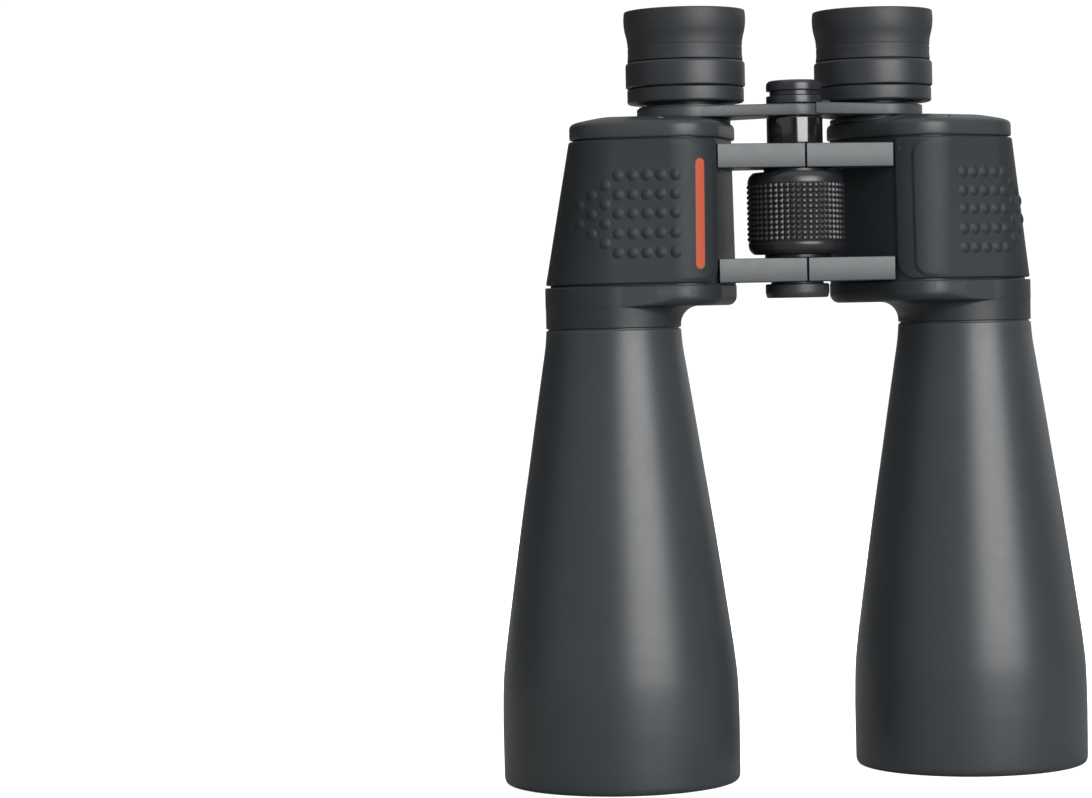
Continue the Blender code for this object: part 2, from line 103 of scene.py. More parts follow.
def rounded(points, steps=4):
    """A profile in which each corner that gives a third number is rounded by that much."""
    made = []
    for i, point in enumerate(points):
        here = Vector(point[:2])
        if len(point) < 3 or not point[2]:
            made.append(tuple(here))
            continue
        before = Vector(points[i - 1][:2]) - here
        after = Vector(points[(i + 1) % len(points)][:2]) - here
        start = here + before.normalized() * min(point[2], 0.49 * before.length)
        end = here + after.normalized() * min(point[2], 0.49 * after.length)
        for k in range(steps + 1):
            t = k / steps
            made.append(tuple(start * (1 - t) ** 2 + here * 2 * t * (1 - t) + end * t * t))
    return made


def turned(profile, segments=ROUND, at=(0.0, 0.0), bm=None):
    """A turned solid from (radius, height) points, up the outer side first."""
    rows = []
    for radius, height in profile:
        steps = segments if radius > 0 else 1
        angles = [2 * pi * k / segments for k in range(steps)]
        rows.append([(at[0] + radius * cos(a), at[1] + radius * sin(a), height) for a in angles])
    return skin(rows, closed_rows=profile[0][0] > 0, bm=bm)


def disc(radius, low, high, edge=0.0):
    """The profile of a plain disc."""
    return rounded([(0, low), (radius, low, edge), (radius, high, edge), (0, high)])


def curve_through(points, step):
    """Smooth (radius, height) points through the given ones, sorted by height."""
    made = []
    for i in range(len(points) - 1):
        p0, p1, p2 = points[max(i - 1, 0)], points[i], points[i + 1]
        p3 = points[min(i + 2, len(points) - 1)]
        count = max(1, round(abs(p2[1] - p1[1]) / step))
        slope1 = (p2[0] - p0[0]) / (p2[1] - p0[1])
        slope2 = (p3[0] - p1[0]) / (p3[1] - p1[1])
        span = p2[1] - p1[1]
        for k in range(count):
            t = k / count
            radius = (2 * t**3 - 3 * t**2 + 1) * p1[0] + (t**3 - 2 * t**2 + t) * span * slope1
            radius += (3 * t**2 - 2 * t**3) * p2[0] + (t**3 - t**2) * span * slope2
            made.append((radius, p1[1] + span * t))
    return made + [points[-1]]


def tangent_angle(a, b):
    """The direction out of two circles (x, y, radius) where a straight stretch joins a to b."""
    dx, dy = b[0] - a[0], b[1] - a[1]
    return atan2(dy, dx) - pi / 2 + asin((a[2] - b[2]) / hypot(dx, dy))


def wrapped(circles, steps=20):
    """Points round the outline that wraps the circles (x, y, radius), listed anticlockwise."""
    points = []
    for i, circle in enumerate(circles):
        start = tangent_angle(circles[i - 1], circle)
        end = tangent_angle(circle, circles[(i + 1) % len(circles)])
        while end < start:
            end += 2 * pi
        for k in range(steps + 1):
            angle = start + (end - start) * k / steps
            points.append((circle[0] + circle[2] * cos(angle), circle[1] + circle[2] * sin(angle)))
    return points


def housing_circles(height, grow=0.0):
    """The three circles that the housing's outer wall wraps at a height."""
    t = (height - HOUSING_Z[0]) / (HOUSING_Z[1] - HOUSING_Z[0])
    x = OBJECTIVE[0] + (HOUSING_TOP[0] - OBJECTIVE[0]) * t
    y = OBJECTIVE[1] + (HOUSING_TOP[1] - OBJECTIVE[1]) * t
    return [(*CORNER, 16.4 + grow), (x, y, 22.6 - 7.6 * t + grow), (*EYEPIECE, 17.2 - 0.8 * t + grow)]


def inset(points, distance):
    """An outline moved inwards at every point, along the mean of its two edges' normals."""
    made = []
    for i, point in enumerate(points):
        before, after = points[i - 1], points[(i + 1) % len(points)]
        n1 = Vector((point[1] - before[1], before[0] - point[0])).normalized()
        n2 = Vector((after[1] - point[1], point[0] - after[0])).normalized()
        middle = (n1 + n2) / max(0.35, 1 + n1.dot(n2))
        made.append((point[0] - middle.x * distance, point[1] - middle.y * distance))
    return made


def slab(points, low, high, edge):
    """An extruded outline with rounded edges at its top and bottom."""
    rows = []
    turns = [radians(90 * k / 3) for k in range(4)]
    for angle in turns:
        depth = edge * (1 - sin(angle))
        rows.append([(x, y, low + edge * (1 - cos(angle))) for x, y in inset(points, depth)])
    for angle in turns[::-1]:
        depth = edge * (1 - sin(angle))
        rows.append([(x, y, high - edge * (1 - cos(angle))) for x, y in inset(points, depth)])
    return skin(rows, capped=True)


def loft(circles, levels):
    """The outline round the circles, stacked up at (height, how far in) levels."""
    rows = []
    for height, depth in levels:
        outline = wrapped([(x, y, radius - depth) for x, y, radius in circles])
        rows.append([(x, y, height) for x, y in outline])
    return skin(rows, capped=True)


def add_block(bm, centre, size):
    """Adds a plain block to a mesh that another one is cut with."""
    matrix = Matrix.Translation(centre) @ Matrix.Diagonal((*size, 1))
    bmesh.ops.create_cube(bm, size=1.0, matrix=matrix)


def combined(bm, *changes):
    """The mesh after each (operation, mesh) change."""
    objects = []
    for mesh_source in (bm, *(change[1] for change in changes)):
        mesh = bpy.data.meshes.new("working")
        mesh_source.to_mesh(mesh)
        mesh_source.free()
        objects.append(bpy.data.objects.new("working", mesh))
        bpy.context.scene.collection.objects.link(objects[-1])
    target = objects[0]
    for (operation, _), helper in zip(changes, objects[1:]):
        modifier = target.modifiers.new(operation, "BOOLEAN")
        modifier.operation = operation
        modifier.solver = "EXACT"
        modifier.object = helper
    bpy.context.view_layer.update()
    evaluated = target.evaluated_get(bpy.context.evaluated_depsgraph_get())
    made = bmesh.new()
    made.from_mesh(evaluated.to_mesh())
    evaluated.to_mesh_clear()
    for obj in objects:
        mesh = obj.data
        bpy.data.objects.remove(obj, do_unlink=True)
        bpy.data.meshes.remove(mesh)
    return made


def piece(name, bm, body, look, nodes=(), side=1, at=(0.0, 0.0, 0.0), sharp=28):
    """Makes the piece, mirrored for the left half, rides it on its body and hides the CAD nodes that it
    stands for.
    """
    if side < 0:
        bmesh.ops.scale(bm, vec=(-1.0, 1.0, 1.0), verts=bm.verts)
        bmesh.ops.reverse_faces(bm, faces=bm.faces)
    offset = Vector((side * at[0], at[1] + HINGE_Y, at[2]))
    bmesh.ops.translate(bm, vec=offset, verts=bm.verts)
    bmesh.ops.scale(bm, vec=(MM, MM, MM), verts=bm.verts)
    mesh = bpy.data.meshes.new(name)
    bm.to_mesh(mesh)
    bm.free()
    mesh.shade_smooth()
    mesh.set_sharp_from_angle(angle=radians(sharp))
    mesh.materials.append(LOOKS[look])
    obj = bpy.data.objects.new(name, mesh)
    bpy.context.scene.collection.objects.link(obj)
    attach(obj, body)
    if nodes:
        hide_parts(*nodes)
    return obj


# ---------------------------------------------------------------- materials

SLOTS = {
    "barrel": "barrel_paint", "housing": "housing_paint", "arm": "arm_paint", "armour": "armour_rubber",
    "marked_armour": "armour_rubber", "plastic": "moulded_plastic", "cover": "moulded_plastic",
    "eyecup": "eyecup_rubber", "wheel": "wheel_rubber", "gloss": "gloss_black", "satin": "gloss_black",
    "aluminium": "blackened_aluminium", "steel": "plated_steel", "brass": "turned_brass",
    "washer": "washer_polymer", "glass": "coated_glass",
}
LOOKS = {}


class Nodes:
    """Short names for adding and linking the nodes of one shader tree."""

    def __init__(self, tree):
        self.tree = tree

    def add(self, kind, inputs=None, **settings):
        node = self.tree.nodes.new(kind)
        for key, value in settings.items():
            setattr(node, key, value)
        for key, value in (inputs or {}).items():
            self.feed(node.inputs[key], value)
        return node

    def feed(self, socket, value):
        if isinstance(value, bpy.types.NodeSocket):
            self.tree.links.new(value, socket)
        else:
            socket.default_value = value

    def math(self, operation, *values):
        node = self.add("ShaderNodeMath", operation=operation)
        for socket, value in zip(node.inputs, values):
            self.feed(socket, value)
        return node.outputs[0]

    def noise(self, where, scale, detail=3.0, roughness=0.55):
        inputs = {"Vector": where, "Scale": scale, "Detail": detail, "Roughness": roughness}
        return self.add("ShaderNodeTexNoise", inputs).outputs["Fac"]

    def ramp(self, factor, low, high, start, end, shape="LINEAR"):
        """factor mapped from low..high to start..end, and held beyond them."""
        inputs = {"Value": factor, "From Min": low, "From Max": high, "To Min": start, "To Max": end}
        return self.add("ShaderNodeMapRange", inputs, clamp=True, interpolation_type=shape).outputs["Result"]

    def mix(self, factor, first, second):
        node = self.add("ShaderNodeMix", data_type="RGBA")
        self.feed(node.inputs["Factor"], factor)
        self.feed(node.inputs["A"], first)
        self.feed(node.inputs["B"], second)
        return node.outputs["Result"]


class Surface(Nodes):
    """The nodes of a new material, with its shader."""

    def __init__(self, name):
        self.material = bpy.data.materials.new(name)
        self.material.use_nodes = True
        super().__init__(self.material.node_tree)
        self.shader = self.tree.nodes["Principled BSDF"]


def colour(red, green, blue):
    """A colour given as display values from 0 to 255, in linear light."""
    linear = []
    for value in (red, green, blue):
        share = value / 255
        linear.append(share / 12.92 if share <= 0.04045 else ((share + 0.055) / 1.055) ** 2.4)
    return (*linear, 1.0)


def scaled(shade, factor):
    """A colour with its three channels multiplied."""
    return tuple(channel * factor for channel in shade[:3]) + (1.0,)


def coated(key, base, worn, roughness, grain, bump, wear=0.0, speckle=0.0, metallic=0.0, coat=0.0,
           specular=0.5):
    """Paint, plastic or rubber: a grain in the surface, faint mottling, and paler worn edges or specks.

    grain is the size of the surface grain in millimetres, and bump is its height in millimetres.
    """
    nodes = Surface(key)
    where = nodes.add("ShaderNodeTexCoord").outputs["Object"]
    broad = nodes.noise(where, 28.0, 4.0, 0.6)
    middle = nodes.noise(where, 240.0, 3.0, 0.6)
    fine = nodes.noise(where, 1000.0 / grain, 2.0, 0.5)
    tone = nodes.mix(nodes.ramp(broad, 0.35, 0.65, 0.0, 1.0), scaled(base, 0.95), scaled(base, 1.06))
    if speckle:
        bright = tuple(min(1.0, channel * 2.2 + 0.01) for channel in base[:3]) + (1.0,)
        tone = nodes.mix(nodes.ramp(fine, 0.58, 0.70, 0.0, speckle), tone, bright)
    if wear:
        edge = nodes.add("ShaderNodeNewGeometry").outputs["Pointiness"]
        patches = nodes.ramp(middle, 0.35, 0.7, 0.15, wear)
        tone = nodes.mix(nodes.math("MULTIPLY", nodes.ramp(edge, 0.53, 0.62, 0.0, 1.0), patches), tone, worn)
    nodes.feed(nodes.shader.inputs["Base Color"], tone)
    shine = nodes.ramp(middle, 0.3, 0.7, roughness - 0.02, roughness + 0.02)
    nodes.feed(nodes.shader.inputs["Roughness"], shine)
    nodes.shader.inputs["Metallic"].default_value = metallic
    nodes.shader.inputs["Coat Weight"].default_value = coat
    nodes.shader.inputs["Coat Roughness"].default_value = 0.12
    nodes.shader.inputs["Specular IOR Level"].default_value = specular
    height = nodes.math("ADD", fine, nodes.math("MULTIPLY", middle, 0.5))
    relief = nodes.add("ShaderNodeBump", {"Strength": 0.8, "Distance": bump * MM, "Height": height})
    nodes.feed(nodes.shader.inputs["Normal"], relief.outputs["Normal"])
    LOOKS[key] = nodes.material
    return nodes, tone


def turned_metal(key, base, roughness):
    """Bare or plated metal with fine turning rings round the vertical."""
    nodes = Surface(key)
    where = nodes.add("ShaderNodeTexCoord").outputs["Object"]
    rings = nodes.add("ShaderNodeMapping", {"Vector": where, "Scale": (30.0, 30.0, 4200.0)})
    lines = nodes.noise(rings.outputs["Vector"], 1.0, 3.0, 0.6)
    broad = nodes.noise(where, 90.0, 3.0, 0.6)
    tone = nodes.mix(nodes.ramp(broad, 0.3, 0.7, 0.0, 1.0), scaled(base, 0.7), base)
    nodes.feed(nodes.shader.inputs["Base Color"], tone)
    shine = nodes.ramp(lines, 0.3, 0.7, roughness - 0.06, roughness + 0.1)
    nodes.feed(nodes.shader.inputs["Roughness"], shine)
    nodes.shader.inputs["Metallic"].default_value = 1.0
    relief = nodes.add("ShaderNodeBump", {"Strength": 0.5, "Distance": 0.01 * MM, "Height": lines})
    nodes.feed(nodes.shader.inputs["Normal"], relief.outputs["Normal"])
    LOOKS[key] = nodes.material


def coated_glass(key):
    """Polished glass: a tinted coat that turns from amber to violet at a slant, and a trace of dust."""
    nodes = Surface(key)
    where = nodes.add("ShaderNodeTexCoord").outputs["Object"]
    facing = nodes.add("ShaderNodeLayerWeight", {"Blend": 0.35}).outputs["Facing"]
    tint = nodes.mix(facing, (0.80, 0.90, 0.88, 1.0), (0.55, 0.45, 0.75, 1.0))
    nodes.feed(nodes.shader.inputs["Base Color"], tint)
    dust = nodes.noise(where, 2600.0, 4.0, 0.7)
    nodes.feed(nodes.shader.inputs["Roughness"], nodes.ramp(dust, 0.62, 0.8, 0.01, 0.25))
    nodes.shader.inputs["Transmission Weight"].default_value = 1.0
    nodes.shader.inputs["IOR"].default_value = 1.52
    nodes.shader.inputs["Coat Weight"].default_value = 0.6
    nodes.shader.inputs["Coat Roughness"].default_value = 0.02
    nodes.shader.inputs["Coat Tint"].default_value = (0.75, 0.55, 0.95, 1.0)
    LOOKS[key] = nodes.material


def marked(key, source, low, high, shade):
    """Another look with a plain coloured bar from low to high on the UV map, which is in millimetres."""
    nodes, tone = source
    uv = nodes.add("ShaderNodeUVMap", uv_map="print").outputs["UV"]
    place = nodes.add("ShaderNodeSeparateXYZ", {"Vector": uv})
    half = ((high[0] - low[0]) / 2, (high[1] - low[1]) / 2)
    reach = []
    for axis in (0, 1):
        middle = (low[axis] + high[axis]) / 2
        away = nodes.math("ABSOLUTE", nodes.math("SUBTRACT", place.outputs[axis], middle))
        reach.append(nodes.math("MAXIMUM", nodes.math("SUBTRACT", away, half[axis] - half[0]), 0.0))
    squares = [nodes.math("POWER", distance, 2.0) for distance in reach]
    far = nodes.math("SQRT", nodes.math("ADD", *squares))
    ink = nodes.ramp(far, half[0] - 0.06, half[0], 1.0, 0.0)
    nodes.feed(nodes.shader.inputs["Base Color"], nodes.mix(ink, tone, shade))
    LOOKS[key] = nodes.material


def make_looks():
    """Every look that the pieces use."""
    pale = colour(120, 124, 128)
    coated("barrel", colour(48, 52, 55), pale, 0.38, 0.55, 0.012, wear=0.5)
    coated("housing", colour(36, 40, 43), pale, 0.44, 0.5, 0.012, specular=0.36)
    coated("arm", colour(55, 59, 62), colour(110, 114, 118), 0.42, 0.4, 0.03, speckle=0.4)
    rubber = (colour(33, 37, 40), colour(80, 84, 88), 0.56, 0.35, 0.03, 0.3)
    coated("armour", *rubber, specular=0.3)
    printed = coated("armour_print", *rubber, specular=0.3)
    marked("marked_armour", printed, BAR_LOW, BAR_HIGH, colour(164, 72, 46))
    coated("plastic", colour(41, 44, 47), colour(110, 112, 116), 0.44, 0.4, 0.015, specular=0.44)
    coated("cover", colour(43, 47, 49), pale, 0.42, 0.5, 0.012, specular=0.42)
    coated("eyecup", colour(38, 41, 44), colour(80, 82, 86), 0.52, 0.3, 0.02, specular=0.42)
    coated("wheel", colour(24, 26, 29), colour(60, 64, 70), 0.34, 0.5, 0.006, wear=0.5, specular=0.6)
    coated("gloss", colour(18, 18, 22), colour(90, 92, 98), 0.12, 1.2, 0.002, coat=0.8)
    coated("satin", colour(34, 36, 40), colour(90, 92, 98), 0.30, 0.5, 0.006)
    coated("aluminium", colour(40, 41, 43), colour(120, 122, 124), 0.42, 0.3, 0.01, metallic=0.5)
    coated("washer", colour(28, 28, 30), colour(60, 60, 62), 0.35, 0.6, 0.004)
    turned_metal("steel", colour(190, 190, 192), 0.3)
    turned_metal("brass", colour(214, 178, 106), 0.3)
    coated_glass("glass")


# ---------------------------------------------------------------- pieces

def lens_profile(radius, lower, upper, steps):
    """A lens between two faces, each given by the height of its edge and how far its middle rises."""
    profile = []
    for (edge, rise), order in ((lower, range(steps + 1)), (upper, range(steps, -1, -1))):
        profile += [(radius * k / steps, edge + rise * (1 - (k / steps) ** 2)) for k in order]
    return profile


def barrel_profile():
    """The barrel's wall: a rounded lip, a long taper, the neck for the collar, and glare grooves inside."""
    outer = curve_through([
        (42.95, 6.0), (43.0, 14.5), (43.0, 23.5), (42.6, 37.0), (41.7, 46.0), (41.15, 50.4), (39.9, 59.4),
        (37.35, 77.4), (34.7, 95.3), (31.9, 113.0), (29.15, 131.0), (26.35, 149.0), (24.95, 158.0),
        (24.5, 163.6),
    ], 2.5)
    lip = rounded([(39.6, 0.0), (42.93, 0.0, 2.8), (42.94, 5.7)], 6)
    neck = [(24.3, 163.85), (23.8, 164.0), (23.8, 164.43), (21.6, 164.43), (21.6, 171.4), (19.4, 171.4)]
    inside = [(19.4, 160.0), (31.0, 104.3), (37.4, 60.0), (39.2, 44.0), (39.2, 13.6)]
    grooves = []
    for k in range(11):
        height = 13.0 - k * 1.05
        grooves += [(39.2, height), (39.55, height - 0.25), (39.55, height - 0.5), (39.2, height - 0.75)]
    return lip + outer + neck + inside + grooves + [(39.2, 0.5)]


def objective(side, prefix, body):
    """The barrel, the cell with its two lenses, and the notched ring that holds them in."""
    def put(name, profile, look, node):
        made = turned(profile, FINE)
        piece(f"{prefix}_{name}", made, body, look, [f"{prefix}_{node}"], side, (*OBJECTIVE, 0))

    put("barrel", barrel_profile(), "barrel", "objective_barrel")
    cell = [(38.9, 14.0, 0.3), (38.9, 34.0), (34.8, 34.0), (34.8, 30.3), (36.2, 30.3), (36.2, 14.0, 0.4)]
    put("lens_cell", rounded(cell), "aluminium", "objective_cell")
    put("front_lens", lens_profile(35.9, (18.0, -3.6), (20.0, 5.2), 18), "glass", "crown_lens")
    put("inner_lens", lens_profile(35.9, (20.3, 5.2), (30.0, 0.4), 18), "glass", "flint_lens")
    ring = turned(rounded([(35.8, 14.6, 0.2), (35.8, 17.7), (34.2, 17.7), (34.2, 14.6, 0.4)]), FINE)
    notches = bmesh.new()
    for x in (-35.0, 35.0):
        add_block(notches, (x, 0, 14.6), (4, 1.6, 2.2))
    ring = combined(ring, ("DIFFERENCE", notches))
    node = f"{prefix}_lens_retaining_ring"
    piece(f"{prefix}_lens_ring", ring, body, "aluminium", [node], side, (*OBJECTIVE, 0))


def reach_of(outline, centre, angle):
    """The distance from the centre to a convex anticlockwise outline, at an angle."""
    reach = []
    for (x0, y0), (x1, y1) in zip(outline, outline[1:] + outline[:1]):
        facing = (y1 - y0) * cos(angle) - (x1 - x0) * sin(angle)
        if facing > 1e-9:
            reach.append(((y1 - y0) * (x0 - centre[0]) - (x1 - x0) * (y0 - centre[1])) / facing)
    return min(reach)


def front_cover(side, prefix, body):
    """The plate with its rolled underside, and the collar that flares into it wherever it overhangs."""
    outline = wrapped([(*CORNER, 18.0), (*OBJECTIVE, COLLAR_RADIUS), (*EYEPIECE, 17.4)], 40)
    turns = [radians(90 * j / 10) for j in range(11)]
    count, under = 240, 172.0
    columns = []
    for k in range(count):
        angle = 2 * pi * k / count
        reach = max(COLLAR_RADIUS + 0.1, reach_of(outline, OBJECTIVE, angle))
        flare = min(6.5, 0.55 * (reach - COLLAR_RADIUS))
        roll = min(3.4, 0.4 * (reach - COLLAR_RADIUS))
        profile = [(22.0, 164.5), (24.2, 164.5), (COLLAR_RADIUS, 164.8)]
        profile += [(COLLAR_RADIUS + flare * (1 - cos(t)), under + flare * (sin(t) - 1)) for t in turns]
        profile += [(reach - roll * (1 - sin(t)), under + roll * (1 - cos(t))) for t in turns]
        profile += [(reach, 179.1), (reach - 0.3, 179.4), (15.5, 179.4), (15.5, 172.4), (22.0, 172.4)]
        x, y = cos(angle), sin(angle)
        columns.append([(OBJECTIVE[0] + r * x, OBJECTIVE[1] + r * y, z) for r, z in profile])
    rows = [list(row) for row in zip(*columns)]
    made = skin(rows, closed_rows=True)
    piece(f"{prefix}_front_plate", made, body, "housing", [f"{prefix}_front_cover"], side, sharp=40)


def prism_housing(side, prefix, body):
    """The tapering shell, its two hinge lugs and the knuckles round the hinge."""
    heights = [179.47, 206.0, 232.25]
    rows = [[(x, y, z) for x, y in wrapped(housing_circles(z))] for z in heights]
    rows += [[(x, y, z) for x, y in wrapped(housing_circles(z, -1.6))] for z in heights[::-1]]
    shell = skin(rows, closed_rows=True)
    piece(f"{prefix}_housing", shell, body, "housing", [f"{prefix}_prism_housing"], side)
    outline = [(0.45, -13.4), (33.0, -13.4), (33.2, -10.0), (22.9, 9.7), (21.3, 13.6), (4.35, 9.33)]
    outline.append((0.45, 0.0))
    for word, low, high, bore in (("lower", *LOWER_LUG_Z, 6.1), ("upper", *UPPER_LUG_Z, 8.3)):
        middle = (low + high) / 2
        own = (low, middle - 0.15) if side > 0 else (middle + 0.15, high)
        other = (middle - 0.15, high + 1) if side > 0 else (low - 1, middle + 0.15)
        made = combined(
            slab(outline, low, high, 0.35),
            ("DIFFERENCE", turned(disc(10.3, *other), ROUND)),
            ("UNION", turned(disc(10.0, *own, 0.25), ROUND)),
            ("DIFFERENCE", turned(disc(bore, low - 1, high + 1), 64)),
        )
        piece(f"{prefix}_{word}_lug", made, body, "arm", (), side, sharp=35)


DOT_COLUMNS = {
    "left": (20.2, 25.5, 30.5, 35.6, 40.8, 45.4, 50.4, 55.3),
    "right": (27.5, 32.2, 37.0, 41.8, 46.4, 50.8, 55.2, 59.8),
}
DOT_ROWS = (218.7, 211.9, 205.2, 198.1, 191.2)
ARROW_ROWS = ((215.3, 208.5, 201.7, 194.7), (212.0, 205.2, 198.1), (208.5, 201.7))
CREASE = {"left": 3.8, "right": 7.6}
ARMOUR_TRIM = (radians(7), radians(44))
ARMOUR_BACK = 0.3
ARMOUR_THICK = 1.5
DOT_RADIUS = 2.0
DOT_HEIGHT = 0.72
MOAT_RADIUS = 2.6
MOAT_DEPTH = 0.1


class ArmourRow:
    """The armour's path at one height: three arcs joined by two straight stretches."""

    def __init__(self, height):
        circles = housing_circles(height, ARMOUR_BACK)
        self.height = height
        self.parts = []
        last = None
        for i, circle in enumerate(circles):
            start = tangent_angle(circles[i - 1], circle)
            end = tangent_angle(circle, circles[(i + 1) % 3])
            while end < start:
                end += 2 * pi
            start += ARMOUR_TRIM[0] if i == 0 else 0
            end -= ARMOUR_TRIM[1] if i == 2 else 0
            x, y, radius = circle
            begins = (x + radius * cos(start), y + radius * sin(start))
            if last:
                length = hypot(begins[0] - last[0], begins[1] - last[1])
                self.parts.append((length, last, begins, start))
            self.parts.append(((radius + ARMOUR_THICK) * (end - start), circle, start, end))
            last = (x + radius * cos(end), y + radius * sin(end))
        self.length = sum(part[0] for part in self.parts)

    def at(self, along):
        """The back surface's point, and the direction out of it, at a distance along the path."""
        for i, part in enumerate(self.parts):
            if along <= part[0] or i == len(self.parts) - 1:
                break
            along -= part[0]
        share = along / part[0]
        if i % 2:
            x = part[1][0] + (part[2][0] - part[1][0]) * share
            y = part[1][1] + (part[2][1] - part[1][1]) * share
            angle = part[3]
        else:
            angle = part[2] + (part[3] - part[2]) * share
            x = part[1][0] + part[1][2] * cos(angle)
            y = part[1][1] + part[1][2] * sin(angle)
        return x, y, cos(angle), sin(angle)


def smooth(low, high, value):
    """A share from 0 to 1 that eases in at low and out at high."""
    t = min(1.0, max(0.0, (value - low) / (high - low)))
    return t * t * (3 - 2 * t)


def armour_dots(columns):
    """The centres of the grips: five straight columns, then three short ones that make an arrow."""
    dots = []
    for along, heights in zip(columns, [DOT_ROWS] * 5 + list(ARROW_ROWS)):
        for z in heights:
            px, py, nx, ny = ArmourRow(z).at(along)
            dots.append(Vector((px + nx * ARMOUR_THICK, py + ny * ARMOUR_THICK, z)))
    return dots


def armour_relief(along, z, crease, dots_near, point):
    """How far the armour stands off its back: a thinner band by the hinge, a crease and round grips.

    Each grip is a dome with a shallow moat round it.
    """
    low, high = ARMOUR_Z
    corner = 5.0
    dx = crease + corner - along
    dz = max(low + 1.2 + corner - z, z - high + 1.6 + corner)
    outside = hypot(max(dx, 0), max(dz, 0)) + min(max(dx, dz), 0) - corner
    step = 0.55 * smooth(-0.6, 0.7, outside) * smooth(26.0, 6.0, along)
    thick = ARMOUR_THICK - step
    for dot in dots_near:
        away = (Vector(point) - dot).length
        if away < MOAT_RADIUS:
            dome = max(0.0, 1 - (away / DOT_RADIUS) ** 2) ** 0.65
            thick += DOT_HEIGHT * dome - MOAT_DEPTH * smooth(MOAT_RADIUS, DOT_RADIUS - 0.1, away)
    return thick


def armour(side, prefix, body):
    """The rubber skin with its grips, and the UV map in millimetres that the bar is placed by."""
    low, high = ARMOUR_Z
    middle = ArmourRow((low + high) / 2)
    fine_columns, plain_columns, fine_levels = 172, 56, 112
    dense = DOT_COLUMNS["right"][-1] + 4.0
    columns = [dense * k / fine_columns for k in range(fine_columns)]
    columns += [dense + (middle.length - dense) * k / plain_columns for k in range(plain_columns + 1)]
    shares = [value / middle.length for value in columns]
    edges = [0.0, 0.06, 0.16, 0.3, 0.5, 0.7]
    levels = [low + value for value in edges]
    levels += [low + 1.1 + (high - low - 2.2) * k / fine_levels for k in range(fine_levels + 1)]
    levels += [high - value for value in edges[::-1]]
    dots = armour_dots(DOT_COLUMNS[prefix])
    rim = 0.7
    bm = bmesh.new()
    uv = bm.loops.layers.uv.new("print")
    printed = {}
    front, back = [], []
    for z in levels:
        row = ArmourRow(z)
        starts = corner_cut(z - low, 7.5) + corner_cut(high - z, 2.0)
        ends = row.length - corner_cut(z - low, 4.0) - corner_cut(high - z, 2.0)
        near = [dot for dot in dots if abs(dot.z - z) < 2.7]
        front_row, back_row = [], []
        for i, share in enumerate(shares):
            along = starts + (ends - starts) * share
            x, y, nx, ny = row.at(along)
            surface = (x + nx * ARMOUR_THICK, y + ny * ARMOUR_THICK, z)
            close = [dot for dot in near if abs(dot.x - surface[0]) < 2.7 and surface[1] < dot.y + 3]
            thick = armour_relief(along, z, CREASE[prefix], close, surface)
            border = min(along - starts, ends - along, z - low, high - z)
            if border < rim:
                thick -= rim * (1 - sqrt(max(0.0, 1 - (1 - border / rim) ** 2)))
            vert = bm.verts.new((x + nx * thick, y + ny * thick, z))
            printed[vert] = (along, z)
            front_row.append(vert)
            back_row.append(bm.verts.new((x, y, z)))
            printed[back_row[-1]] = (-50.0, z)
        front.append(front_row)
        back.append(back_row)
    width = len(shares)
    for rows, turn in ((front, 1), (back, -1)):
        for lower, upper in zip(rows, rows[1:]):
            for k in range(width - 1):
                bm.faces.new((lower[k], lower[k + 1], upper[k + 1], upper[k])[::turn])
    for k in range(width - 1):
        bm.faces.new((back[0][k], back[0][k + 1], front[0][k + 1], front[0][k]))
        bm.faces.new((front[-1][k], front[-1][k + 1], back[-1][k + 1], back[-1][k]))
    for k in range(len(levels) - 1):
        bm.faces.new((back[k][0], front[k][0], front[k + 1][0], back[k + 1][0]))
        bm.faces.new((front[k][-1], back[k][-1], back[k + 1][-1], front[k + 1][-1]))
    for face in bm.faces:
        for loop in face.loops:
            loop[uv].uv = printed[loop.vert]
    look = "marked_armour" if side < 0 else "armour"
    piece(f"{prefix}_grip_skin", bm, body, look, [f"{prefix}_armour"], side, sharp=50)


def corner_cut(height, radius):
    """How far a rounded corner of that radius cuts in at a height above the corner."""
    if height >= radius:
        return 0.0
    return radius - sqrt(radius**2 - (radius - height) ** 2)


def rear_cover(side, prefix, body):
    """The domed cover, cut for the eyepiece's bush and its screws, and three cross-slotted heads."""
    outline = [(*CORNER, 18.0), (*HOUSING_TOP, 16.6), (*EYEPIECE, 17.6)]
    levels = [(232.3, 0.35), (232.55, 0.1), (232.9, 0.0), (236.2, 0.0), (236.9, 0.12), (237.5, 0.45)]
    levels += [(237.95, 0.95), (238.3, 1.6), (238.6, 2.5), (238.95, 4.0), (239.4, 6.2), (239.85, 8.6)]
    levels += [(240.2, 10.6), (240.45, 12.6)]
    seat = rounded([(0, 225.0), (15.2, 225.0), (15.2, 238.0), (19.2, 238.0, 0.4), (19.5, 245.0), (0, 245.0)])
    cutter = turned(seat, ROUND, EYEPIECE)
    for place in SCREW_PLACES:
        hole = [(0, 233.1), (1.5, 233.1), (1.5, 237.6), (2.15, 237.6), (2.3, 245.0), (0, 245.0)]
        turned(hole, 32, place, cutter)
    made = combined(loft(outline, levels), ("DIFFERENCE", cutter))
    piece(f"{prefix}_rear_plate", made, body, "cover", [f"{prefix}_rear_cover"], side, sharp=35)
    for number, place in enumerate(SCREW_PLACES, 1):
        shape = rounded([(0, 233.4), (1.2, 233.4), (1.2, 237.9), (1.9, 237.9), (1.9, 239.0, 0.5), (0, 239.5)])
        slots = []
        for size in ((2.2, 0.5, 1.2), (0.5, 2.2, 1.2)):
            slot = bmesh.new()
            add_block(slot, (0, 0, 239.6), size)
            slots.append(("DIFFERENCE", slot))
        head = combined(turned(shape, 32), *slots)
        name = f"{prefix}_cover_screw_head_{number}"
        piece(name, head, body, "steel", [f"{prefix}_cover_screw_{number}"], side, (*place, 0))


